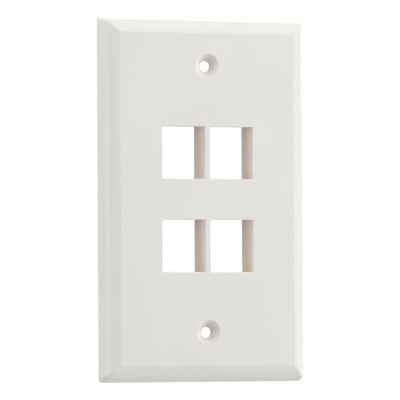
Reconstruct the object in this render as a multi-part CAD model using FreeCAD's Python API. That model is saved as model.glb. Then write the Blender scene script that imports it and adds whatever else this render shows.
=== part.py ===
"""Single-gang wall plate with four keystone ports, moulded in one piece. Millimetres.

X runs across the plate, Z up, and the front face looks along -Y.
The origin is the centre of the rear rim plane, the plane that meets the wall.
"""
import FreeCAD, Part

import math
import os

Vec = FreeCAD.Vector

# ---- Driving dimensions ----
# Plate outline
plate_width = 69.85            # X
plate_height = 114.3           # Z
plate_depth = 6.3              # rear rim plane to front face
rim_corner_radius = 1.3        # seen from the front, at the rear rim
shoulder_corner_radius = 1.05  # at the outer edge of the bevel
face_corner_radius = 0.15      # at the front face, where the bevels meet in a mitre

# Edge section: side wall, shoulder and bevel, as insets from the outline
side_inset = 0.72              # what the draft takes off the side wall
side_height = 3.2              # side wall, from the rear rim plane
shoulder_inset = 2.1           # outer edge of the bevel
shoulder_drop = 1.25           # outer edge of the bevel, below the front face
shoulder_bulge = 0.19          # crown of the shoulder over its chord
bevel_inset = 5.2              # inner edge of the bevel, where the flat face starts
bevel_bulge = 0.13             # crown of the bevel over its chord

# Hollow back
front_wall = 2.4               # thickness of the front
rim_wall = 2.2                 # thickness of the rim where it meets the wall
rim_wall_taper = 0.15          # draft on the inside of the rim
hollow_bevel_width = 2.1       # inner bevel between the rim and the front wall
hollow_bevel_height = 1.9
hollow_corner_radius = 0.8

# Keystone ports, in two columns and two rows
port_columns = 2
port_rows = 2
port_width = 14.6
port_height = 16.3
port_divider = 1.84            # wall between neighbouring columns
port_row_pitch = 29.16
port_depth = 8.6               # front face to the rear end of the port
port_edge_radius = 0.3         # rounded front edge
latch_recess = 3.6             # room for the sprung latch, above the port
latch_catch = 1.7              # how far the catch comes down over the recess
hook_recess = 1.6              # room for the fixed hook, below the port
hook_catch = 1.0               # how far the sill comes up over the recess
catch_thickness = 1.7          # catch and sill, front to back
catch_lead = 0.7               # lead-in on their rear edges
cell_side_wall = 1.8
cell_end_wall = 1.5

# Stiffening behind the front wall
web_thickness = 1.4            # webs that join the two rows of cells
web_setback = 0.8              # their rear edges, in front of the rim plane
rib_thickness = 1.2            # ribs from the cells to the rim
rib_setback = 1.5

# Marks that the mould's ejector pins leave on the floor of the hollow back
ejector_mark_diameter = 5.0
ejector_mark_depth = 0.1

# Mounting screws
screw_spacing = 83.3
screw_hole_diameter = 3.5
countersink_diameter = 8.0
screw_land = 0.5               # straight part of the hole
pad_diameter = 11.0            # round pad behind each hole
pad_height = 0.35

# ---- Worked out from them ----
face_y = -plate_depth
floor_y = face_y + front_wall              # floor of the hollow back
port_rear_y = face_y + port_depth
column_pitch = port_width + port_divider
block_width = port_columns * column_pitch - port_divider + 2 * cell_side_wall
overlap = 1.0                              # cutters run this far past what they cut


def rounded_outline(width, height, radius, y):
    """Rectangle with round corners, in the plane at y."""
    x_line = width / 2 - radius
    z_line = height / 2 - radius
    bow = radius * math.sqrt(0.5)
    edges = []
    for x_sign, z_sign in ((1, 1), (-1, 1), (-1, -1), (1, -1)):
        centre = Vec(x_sign * x_line, y, z_sign * z_line)
        on_side = centre + Vec(x_sign * radius, 0, 0)
        on_end = centre + Vec(0, 0, z_sign * radius)
        middle = centre + Vec(x_sign * bow, 0, z_sign * bow)
        start, end = (on_side, on_end) if x_sign == z_sign else (on_end, on_side)
        if edges:
            edges.append(Part.makeLine(edges[-1].Vertexes[-1].Point, start))
        edges.append(Part.Arc(start, middle, end).toShape())
    edges.append(Part.makeLine(edges[-1].Vertexes[-1].Point, edges[0].Vertexes[0].Point))
    return Part.Wire(edges)


def plate_outline(inset, height, radius):
    """The plate's outline, drawn in by inset, at a height over the rear rim plane."""
    return rounded_outline(plate_width - 2 * inset, plate_height - 2 * inset, radius, -height)


def crowned_stations(start, end, bulge):
    """Three stations (inset, height, corner radius) along a line that bulges outwards."""
    run = end[0] - start[0]
    rise = end[1] - start[1]
    length = math.hypot(run, rise)
    middle_inset = (start[0] + end[0]) / 2 - bulge * rise / length
    middle_height = (start[1] + end[1]) / 2 + bulge * run / length
    middle_radius = math.sqrt(start[2] * end[2])
    return [start, (middle_inset, middle_height, middle_radius), end]


def loft_stations(stations):
    """Solid through the plate's outline at each (inset, height, corner radius)."""
    wires = [plate_outline(*station) for station in stations]
    return Part.makeLoft(wires, True, len(wires) == 2)


def bevelled_blank():
    """The plate's outside: drafted side walls, crowned shoulder, crowned bevel."""
    rim = (0.0, 0.0, rim_corner_radius)
    side_top = (side_inset, side_height, rim_corner_radius)
    shoulder = (shoulder_inset, plate_depth - shoulder_drop, shoulder_corner_radius)
    face = (bevel_inset, plate_depth, face_corner_radius)
    side = loft_stations([rim, side_top])
    edge = loft_stations(crowned_stations(side_top, shoulder, shoulder_bulge))
    bevel = loft_stations(crowned_stations(shoulder, face, bevel_bulge))
    return side.fuse([edge, bevel])


def hollow_back():
    """What is taken out behind the front wall, with an inner bevel under the outer one."""
    depth = -floor_y
    knee_height = depth - hollow_bevel_height
    knee_inset = rim_wall + rim_wall_taper
    stations = (
        (rim_wall, 0.0),
        (knee_inset, knee_height),
        (knee_inset + hollow_bevel_width, depth),
    )
    wires = [plate_outline(inset, height, hollow_corner_radius) for inset, height in stations]
    return Part.makeLoft(wires, True, True)


def port_centres():
    """(x, z) of every port."""
    for row in range(port_rows):
        for column in range(port_columns):
            x = (column - (port_columns - 1) / 2) * column_pitch
            z = (row - (port_rows - 1) / 2) * port_row_pitch
            yield x, z


def cell_heights():
    """Lowest and highest point of a cell's walls, from its port's centre."""
    low = -port_height / 2 - hook_recess - cell_end_wall
    high = port_height / 2 + latch_recess + cell_end_wall
    return low, high


def cell_blocks():
    """One block of cells for each row of ports, still solid."""
    low, high = cell_heights()
    depth = port_rear_y - floor_y
    blocks = []
    for row_z in sorted({z for _, z in port_centres()}):
        corner = Vec(-block_width / 2, floor_y, row_z + low)
        blocks.append(Part.makeBox(block_width, depth, high - low, corner))
    return blocks


def port_void(x, z):
    """A port's inside: front opening, latch recess and catch above, hook recess and sill below."""
    half = port_height / 2
    roof = half + latch_recess
    ground = -half - hook_recess
    catch_edge = roof - latch_catch
    sill_edge = ground + hook_catch
    catch_y = port_rear_y - catch_thickness
    lead_y = port_rear_y - catch_lead
    section = [
        (face_y, -half), (face_y, half),
        (floor_y, half), (floor_y, roof),
        (catch_y, roof), (catch_y, catch_edge),
        (lead_y, catch_edge), (port_rear_y, catch_edge + catch_lead),
        (port_rear_y, sill_edge - catch_lead), (lead_y, sill_edge),
        (catch_y, sill_edge), (catch_y, ground),
        (floor_y, ground), (floor_y, -half),
    ]
    left = x - port_width / 2
    points = [Vec(left, y, z + height) for y, height in section]
    face = Part.Face(Part.makePolygon(points + points[:1]))
    return face.extrude(Vec(port_width, 0, 0))


def row_webs():
    """Webs in line with the cells' side walls and divider, between neighbouring rows."""
    low, high = cell_heights()
    depth = -web_setback - floor_y
    gap = port_row_pitch + low - high
    outermost = (block_width - web_thickness) / 2
    webs = []
    for gap_index in range(port_rows - 1):
        start_z = (gap_index - (port_rows - 1) / 2) * port_row_pitch + high
        for x in (-outermost, 0.0, outermost):
            corner = Vec(x - web_thickness / 2, floor_y, start_z)
            webs.append(Part.makeBox(web_thickness, depth, gap, corner))
    return webs


def side_ribs():
    """Ribs across the hollow back at each row of ports, from rim to cells."""
    depth = -rib_setback - floor_y
    length = plate_width - 2 * rim_wall
    ribs = []
    for row_z in sorted({z for _, z in port_centres()}):
        corner = Vec(-length / 2, floor_y, row_z - rib_thickness / 2)
        ribs.append(Part.makeBox(length, depth, rib_thickness, corner))
    return ribs


def screw_centres():
    return (-screw_spacing / 2, screw_spacing / 2)


def screw_pad(z):
    """Round pad that thickens the front wall at a screw hole."""
    return Part.makeCylinder(pad_diameter / 2, pad_height, Vec(0, floor_y, z), Vec(0, 1, 0))


def screw_hole(z):
    """Countersunk hole, turned about its own axis."""
    hole_radius = screw_hole_diameter / 2
    sink_radius = countersink_diameter / 2
    rear_y = floor_y + pad_height
    cone_end_y = rear_y - screw_land
    profile = Part.makePolygon([
        Vec(0, face_y - overlap, z),
        Vec(sink_radius, face_y - overlap, z),
        Vec(sink_radius, face_y, z),
        Vec(hole_radius, cone_end_y, z),
        Vec(hole_radius, rear_y + overlap, z),
        Vec(0, rear_y + overlap, z),
        Vec(0, face_y - overlap, z),
    ])
    return Part.Face(profile).revolve(Vec(0, 0, z), Vec(0, 1, 0), 360)


def ejector_marks():
    """Shallow round recesses beside the cells, level with the middle and with each screw."""
    floor_edge = plate_width / 2 - rim_wall - rim_wall_taper - hollow_bevel_width
    x = (block_width / 2 + floor_edge) / 2
    radius = ejector_mark_diameter / 2
    marks = []
    for z in (0.0, *screw_centres()):
        for side in (-1, 1):
            deepest = Vec(side * x, floor_y - ejector_mark_depth, z)
            marks.append(Part.makeCylinder(radius, ejector_mark_depth + overlap, deepest, Vec(0, 1, 0)))
    return marks


def break_port_edges(solid):
    """Rounds the front edges of the ports."""
    edges = []
    for x, z in port_centres():
        for edge in solid.Edges:
            box = edge.BoundBox
            on_face = abs(box.YMin - face_y) < 1e-6 and abs(box.YMax - face_y) < 1e-6
            near_x = abs(box.Center.x - x) <= port_width / 2 + 1e-6
            near_z = abs(box.Center.z - z) <= port_height / 2 + 1e-6
            if on_face and near_x and near_z:
                edges.append(edge)
    return solid.makeFillet(port_edge_radius, edges)


def faceplate():
    """The whole moulding."""
    shell = bevelled_blank().cut(hollow_back())
    additions = cell_blocks() + row_webs() + side_ribs() + [screw_pad(z) for z in screw_centres()]
    body = shell.fuse(additions)
    ports = [port_void(x, z) for x, z in port_centres()]
    holes = [screw_hole(z) for z in screw_centres()]
    return break_port_edges(body.cut(ports + holes + ejector_marks()).removeSplitter())


os.makedirs("parts", exist_ok=True)
plate = faceplate()
plate.exportStep("parts/faceplate.step")
print("faceplate: solids", len(plate.Solids), "valid", plate.isValid(), "volume", round(plate.Volume, 1))
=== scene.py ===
import math

import bpy
from mathutils import Matrix, Vector


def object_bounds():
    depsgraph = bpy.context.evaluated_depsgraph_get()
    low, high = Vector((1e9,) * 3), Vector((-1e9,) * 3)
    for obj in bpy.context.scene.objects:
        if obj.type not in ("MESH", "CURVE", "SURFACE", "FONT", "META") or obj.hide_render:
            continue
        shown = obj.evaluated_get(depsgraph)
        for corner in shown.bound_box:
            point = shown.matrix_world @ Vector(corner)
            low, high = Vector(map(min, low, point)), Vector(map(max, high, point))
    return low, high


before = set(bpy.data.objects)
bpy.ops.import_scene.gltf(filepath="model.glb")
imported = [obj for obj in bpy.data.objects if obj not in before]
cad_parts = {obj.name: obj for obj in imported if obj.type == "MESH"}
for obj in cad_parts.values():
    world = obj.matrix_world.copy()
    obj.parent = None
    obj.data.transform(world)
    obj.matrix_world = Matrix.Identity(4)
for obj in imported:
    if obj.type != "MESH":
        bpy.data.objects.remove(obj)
cad_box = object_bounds()

MM = 0.001

# ---- Camera ----
CAMERA_YAW = math.radians(24.32)       # it stands to the left of the plate and looks to the right
CAMERA_PITCH = math.radians(1.76)      # and a little below it, looking up
CAMERA_ROLL = math.radians(-0.32)
CAMERA_DISTANCE = 1411 * MM
CAMERA_TARGET = Vector((0.02, 0.0, -0.06)) * MM
CAMERA_CLIP_END = 20.0
SENSOR_WIDTH_MM = 36.0
LENS_MM = 404.3

# ---- Stage and light ----
FLOOR_DROP = 1.1                       # floor below the plate's lower edge
FLOOR_RADIUS = 6.0
FLOOR_CORNERS = 64
FLOOR_COLOUR = (0.80, 0.80, 0.80)
FLOOR_ROUGHNESS = 0.9
FLOOR_LIFT = 0.60                      # added to the lit floor only where it is seen
SHOWN_WHITE = 1.0                      # strength at which the background shows white
ROOM_LIGHT = 0.155                     # even light from the room's pale walls
LAMP_DISTANCE = 1.3
LAMP_DIAMETER = 0.8
# (name, bearing from straight ahead, height angle, watts); a positive bearing is to the right
LAMPS = (
    ("key_lamp", 40, 30, 4.7),
    ("high_lamp", 20, 60, 4.4),
    ("right_lamp", 50, 0, 4.2),
    ("low_right_lamp", 70, -25, 6.7),
    ("left_lamp", -50, 0, 1.7),
    ("far_left_lamp", -75, 0, 6.1),
    ("top_left_lamp", -90, 60, 6.6),
    ("back_lamp", 150, 10, 5.5),
    ("high_back_lamp", 170, 45, 5.5),
)

# ---- Moulded plastic ----
# How closed in a place is, from 0 on an open face towards 1 at the bottom of a well
OPEN_FACE = 0.02
COUNTERSINK = 0.27
PORT_WALL = 0.38
# Painted shade: past the open face's own colour, the countersinks are painted darker and the port
# walls darker and warmer, standing in for shade and warm light through thin walls
PLASTIC_AND_PAINTED_SHADE_COLOURS = (
    (OPEN_FACE, (0.80, 0.785, 0.752)),
    (COUNTERSINK, (0.765, 0.748, 0.705)),
    (PORT_WALL, (0.785, 0.670, 0.575)),
)
OPEN_ROUGHNESS = 0.45                  # up to the depth of a countersink
DEEP_ROUGHNESS = 0.65                  # from the depth of a port wall
DEEP_REACH = 20 * MM
DEEP_SAMPLES = 6
SCATTER_DEPTH = 0.25 * MM
SCATTER_SPREAD = (1.0, 1.0, 1.0)
GRAIN_SIZE = 0.14 * MM
GRAIN_DEPTH = 0.004 * MM
GRAIN_DETAIL = 2.0
GRAIN_TONE = (0.995, 1.005)
PEEL_SIZE = 1.6 * MM
PEEL_DEPTH = 0.004 * MM
PEEL_DETAIL = 1.0
DRIFT_SIZE = 22 * MM                   # slow change of tone and gloss across the moulding
DRIFT_DETAIL = 2.0
DRIFT_TONE = (0.99, 1.01)
DRIFT_ROUGHNESS = (-0.02, 0.02)
EDGE_REACH = 0.35 * MM
EDGE_GAIN = 8.0                        # mask for each unit of lean
EDGE_SAMPLES = 4
EDGE_TONE = (1.0, 1.015)
EDGE_POLISH = 0.05                     # roughness that handling takes off an edge
MASK_RANGE = (0.0, 1.0)
NOISE_RANGE = (0.3, 0.7)               # where nearly all of a noise lies


def view_camera():
    """A long lens from the lower left, nearly level."""
    forward = Vector((
        math.sin(CAMERA_YAW) * math.cos(CAMERA_PITCH),
        math.cos(CAMERA_YAW) * math.cos(CAMERA_PITCH),
        math.sin(CAMERA_PITCH),
    ))
    level_right = Vector((math.cos(CAMERA_YAW), -math.sin(CAMERA_YAW), 0.0))
    level_up = level_right.cross(forward)
    right = math.cos(CAMERA_ROLL) * level_right + math.sin(CAMERA_ROLL) * level_up
    up = right.cross(forward)
    data = bpy.data.cameras.new("camera")
    data.sensor_width = SENSOR_WIDTH_MM
    data.lens = LENS_MM
    data.clip_end = CAMERA_CLIP_END
    camera = bpy.data.objects.new("camera", data)
    axes = Matrix((right, up, -forward)).transposed().to_4x4()
    camera.matrix_world = Matrix.Translation(CAMERA_TARGET - forward * CAMERA_DISTANCE) @ axes
    bpy.context.scene.collection.objects.link(camera)
    bpy.context.scene.camera = camera


def maths(tree, operation, first, second, clamp=False):
    """A Math node fed by sockets or plain numbers; returns its result."""
    node = tree.nodes.new("ShaderNodeMath")
    node.operation = operation
    node.use_clamp = clamp
    for socket, value in zip(node.inputs, (first, second)):
        if isinstance(value, bpy.types.NodeSocket):
            tree.links.new(value, socket)
        else:
            socket.default_value = value
    return node.outputs["Value"]


def spread(tree, value, old_range, new_range):
    """Takes a value from one range to another and holds it there."""
    node = tree.nodes.new("ShaderNodeMapRange")
    tree.links.new(value, node.inputs["Value"])
    labels = ("From Min", "From Max", "To Min", "To Max")
    for label, bound in zip(labels, (*old_range, *new_range)):
        node.inputs[label].default_value = bound
    return node.outputs["Result"]


def shown_to_lens(tree):
    """1 where a surface is seen directly, in a reflection or through glass."""
    path = tree.nodes.new("ShaderNodeLightPath")
    total = path.outputs["Is Camera Ray"]
    for ray in ("Is Glossy Ray", "Is Transmission Ray"):
        total = maths(tree, "MAXIMUM", total, path.outputs[ray])
    return total


def room_world():
    """Even white light, which shows as plain white behind the plate."""
    world = bpy.data.worlds.new("room")
    world.use_nodes = True
    bpy.context.scene.world = world
    tree = world.node_tree
    background = tree.nodes["Background"]
    background.inputs["Color"].default_value = (1.0, 1.0, 1.0, 1.0)
    strength = spread(tree, shown_to_lens(tree), MASK_RANGE, (ROOM_LIGHT, SHOWN_WHITE))
    tree.links.new(strength, background.inputs["Strength"])


def floor_material():
    """Pale paint that keeps the plate's shadow and shows nearly white."""
    material = bpy.data.materials.new("pale_floor")
    material.use_nodes = True
    tree = material.node_tree
    shader = tree.nodes["Principled BSDF"]
    shader.inputs["Base Color"].default_value = (*FLOOR_COLOUR, 1.0)
    shader.inputs["Roughness"].default_value = FLOOR_ROUGHNESS
    lift = tree.nodes.new("ShaderNodeEmission")
    strength = maths(tree, "MULTIPLY", shown_to_lens(tree), FLOOR_LIFT)
    tree.links.new(strength, lift.inputs["Strength"])
    both = tree.nodes.new("ShaderNodeAddShader")
    tree.links.new(shader.outputs["BSDF"], both.inputs[0])
    tree.links.new(lift.outputs["Emission"], both.inputs[1])
    tree.links.new(both.outputs["Shader"], tree.nodes["Material Output"].inputs["Surface"])
    return material


def floor():
    """A pale round floor well under the plate."""
    low, _ = cad_box
    z = low[2] - FLOOR_DROP
    angles = [2 * math.pi * k / FLOOR_CORNERS for k in range(FLOOR_CORNERS)]
    ring = [(FLOOR_RADIUS * math.cos(a), FLOOR_RADIUS * math.sin(a), z) for a in angles]
    mesh = bpy.data.meshes.new("floor")
    mesh.from_pydata(ring, [], [tuple(range(FLOOR_CORNERS))])
    mesh.materials.append(floor_material())
    disc = bpy.data.objects.new("floor", mesh)
    bpy.context.scene.collection.objects.link(disc)


def soft_lamps():
    """Round soft boxes that all face the plate; none of them shows."""
    for name, bearing, height, watts in LAMPS:
        across, rise = math.radians(bearing), math.radians(height)
        direction = Vector((
            math.sin(across) * math.cos(rise),
            -math.cos(across) * math.cos(rise),
            math.sin(rise),
        ))
        data = bpy.data.lights.new(name, "AREA")
        data.shape = "DISK"
        data.size = LAMP_DIAMETER
        data.energy = watts
        lamp = bpy.data.objects.new(name, data)
        lamp.location = direction * LAMP_DISTANCE
        lamp.rotation_euler = direction.to_track_quat("Z", "Y").to_euler()
        lamp.visible_camera = False
        bpy.context.scene.collection.objects.link(lamp)


def start_group(name, inputs, outputs):
    """A new shader node group of number sockets; returns it with its input and output nodes."""
    group = bpy.data.node_groups.new(name, "ShaderNodeTree")
    for label, value in inputs:
        socket = group.interface.new_socket(
            name=label, in_out="INPUT", socket_type="NodeSocketFloat"
        )
        socket.default_value = value
    for label in outputs:
        group.interface.new_socket(name=label, in_out="OUTPUT", socket_type="NodeSocketFloat")
    return group, group.nodes.new("NodeGroupInput"), group.nodes.new("NodeGroupOutput")


def place_group(tree, group, **values):
    """Puts a group in a material with its own values."""
    node = tree.nodes.new("ShaderNodeGroup")
    node.node_tree = group
    for label, value in values.items():
        node.inputs[label.replace("_", " ").title()].default_value = value
    return node


def noise(tree, vector, size, detail):
    """Noise whose cells are about one size across; size is a number or a socket, in metres."""
    node = tree.nodes.new("ShaderNodeTexNoise")
    node.inputs["Detail"].default_value = detail
    tree.links.new(vector, node.inputs["Vector"])
    tree.links.new(maths(tree, "DIVIDE", 1.0, size), node.inputs["Scale"])
    return node.outputs["Fac"]


def mould_grain_group():
    """The mould's finish: fine spark-eroded grain over a slight orange peel, height in metres."""
    group, given, result = start_group(
        "mould_grain",
        [
            ("Grain Size", GRAIN_SIZE),
            ("Grain Depth", GRAIN_DEPTH),
            ("Peel Size", PEEL_SIZE),
            ("Peel Depth", PEEL_DEPTH),
        ],
        ["Height", "Grain"],
    )
    place = group.nodes.new("ShaderNodeTexCoord").outputs["Object"]
    grain = noise(group, place, given.outputs["Grain Size"], GRAIN_DETAIL)
    peel = noise(group, place, given.outputs["Peel Size"], PEEL_DETAIL)
    height = maths(
        group, "ADD",
        maths(group, "MULTIPLY", grain, given.outputs["Grain Depth"]),
        maths(group, "MULTIPLY", peel, given.outputs["Peel Depth"]),
    )
    group.links.new(height, result.inputs["Height"])
    group.links.new(grain, result.inputs["Grain"])
    return group


def deep_places_group():
    """Mask of the places that other surfaces close in: ports, countersinks, inner corners."""
    group, given, result = start_group("deep_places", [("Reach", DEEP_REACH)], ["Mask"])
    openness = group.nodes.new("ShaderNodeAmbientOcclusion")
    openness.samples = DEEP_SAMPLES
    group.links.new(given.outputs["Reach"], openness.inputs["Distance"])
    closed = maths(group, "SUBTRACT", 1.0, openness.outputs["AO"])
    group.links.new(closed, result.inputs["Mask"])
    return group


def worn_edges_group():
    """Mask of the edges, from how far a normal rounded over the reach leans from the true one."""
    group, given, result = start_group(
        "worn_edges", [("Reach", EDGE_REACH), ("Gain", EDGE_GAIN)], ["Mask"]
    )
    rounded = group.nodes.new("ShaderNodeBevel")
    rounded.samples = EDGE_SAMPLES
    group.links.new(given.outputs["Reach"], rounded.inputs["Radius"])
    true_normal = group.nodes.new("ShaderNodeNewGeometry").outputs["Normal"]
    agreement = group.nodes.new("ShaderNodeVectorMath")
    agreement.operation = "DOT_PRODUCT"
    group.links.new(rounded.outputs["Normal"], agreement.inputs[0])
    group.links.new(true_normal, agreement.inputs[1])
    lean = maths(group, "SUBTRACT", 1.0, agreement.outputs["Value"])
    mask = maths(group, "MULTIPLY", lean, given.outputs["Gain"], clamp=True)
    group.links.new(mask, result.inputs["Mask"])
    return group


def painted_shade_ramp(tree, deep):
    """Painted shade: the plastic's colour, made darker and warmer the more closed in a place is.
    """
    ramp = tree.nodes.new("ShaderNodeValToRGB")
    stops = ramp.color_ramp.elements
    while len(stops) < len(PLASTIC_AND_PAINTED_SHADE_COLOURS):
        stops.new(0.5)
    for stop, (depth, colour) in zip(stops, PLASTIC_AND_PAINTED_SHADE_COLOURS):
        stop.position = depth
        stop.color = (*colour, 1.0)
    tree.links.new(deep, ramp.inputs["Fac"])
    return ramp.outputs["Color"]


def moulded_plastic():
    """Satin off-white plastic, duller in the deep places and painted darker and warmer there as
    shade, polished at the edges.
    """
    material = bpy.data.materials.new("moulded_plastic")
    material.use_nodes = True
    tree = material.node_tree
    shader = tree.nodes["Principled BSDF"]
    shader.inputs["Subsurface Weight"].default_value = 1.0
    shader.inputs["Subsurface Radius"].default_value = SCATTER_SPREAD
    shader.inputs["Subsurface Scale"].default_value = SCATTER_DEPTH

    deep = place_group(tree, deep_places_group(), reach=DEEP_REACH).outputs["Mask"]
    edges = place_group(tree, worn_edges_group(), reach=EDGE_REACH, gain=EDGE_GAIN).outputs["Mask"]
    finish = place_group(
        tree, mould_grain_group(),
        grain_size=GRAIN_SIZE, grain_depth=GRAIN_DEPTH, peel_size=PEEL_SIZE, peel_depth=PEEL_DEPTH,
    )
    place = tree.nodes.new("ShaderNodeTexCoord").outputs["Object"]
    drift = noise(tree, place, DRIFT_SIZE, DRIFT_DETAIL)

    tone = spread(tree, drift, NOISE_RANGE, DRIFT_TONE)
    grain_tone = spread(tree, finish.outputs["Grain"], NOISE_RANGE, GRAIN_TONE)
    tone = maths(tree, "MULTIPLY", tone, grain_tone)
    tone = maths(tree, "MULTIPLY", tone, spread(tree, edges, MASK_RANGE, EDGE_TONE))
    toned = tree.nodes.new("ShaderNodeVectorMath")
    toned.operation = "SCALE"
    # Painted shade: the base colour is darkened and warmed by the occlusion mask in the deep
    # places
    tree.links.new(painted_shade_ramp(tree, deep), toned.inputs["Vector"])
    tree.links.new(tone, toned.inputs["Scale"])
    tree.links.new(toned.outputs["Vector"], shader.inputs["Base Color"])

    dulling = (OPEN_ROUGHNESS, DEEP_ROUGHNESS)
    roughness = spread(tree, deep, (COUNTERSINK, PORT_WALL), dulling)
    roughness = maths(tree, "ADD", roughness, spread(tree, drift, NOISE_RANGE, DRIFT_ROUGHNESS))
    polish = maths(tree, "MULTIPLY", edges, EDGE_POLISH)
    tree.links.new(maths(tree, "SUBTRACT", roughness, polish), shader.inputs["Roughness"])

    bump = tree.nodes.new("ShaderNodeBump")
    bump.inputs["Distance"].default_value = 1.0
    tree.links.new(finish.outputs["Height"], bump.inputs["Height"])
    tree.links.new(bump.outputs["Normal"], shader.inputs["Normal"])
    return material


view_camera()
room_world()
floor()
soft_lamps()
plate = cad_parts["faceplate"]
plate.data.materials.clear()
plate.data.materials.append(moulded_plastic())
bpy.context.scene.view_settings.view_transform = "Standard"
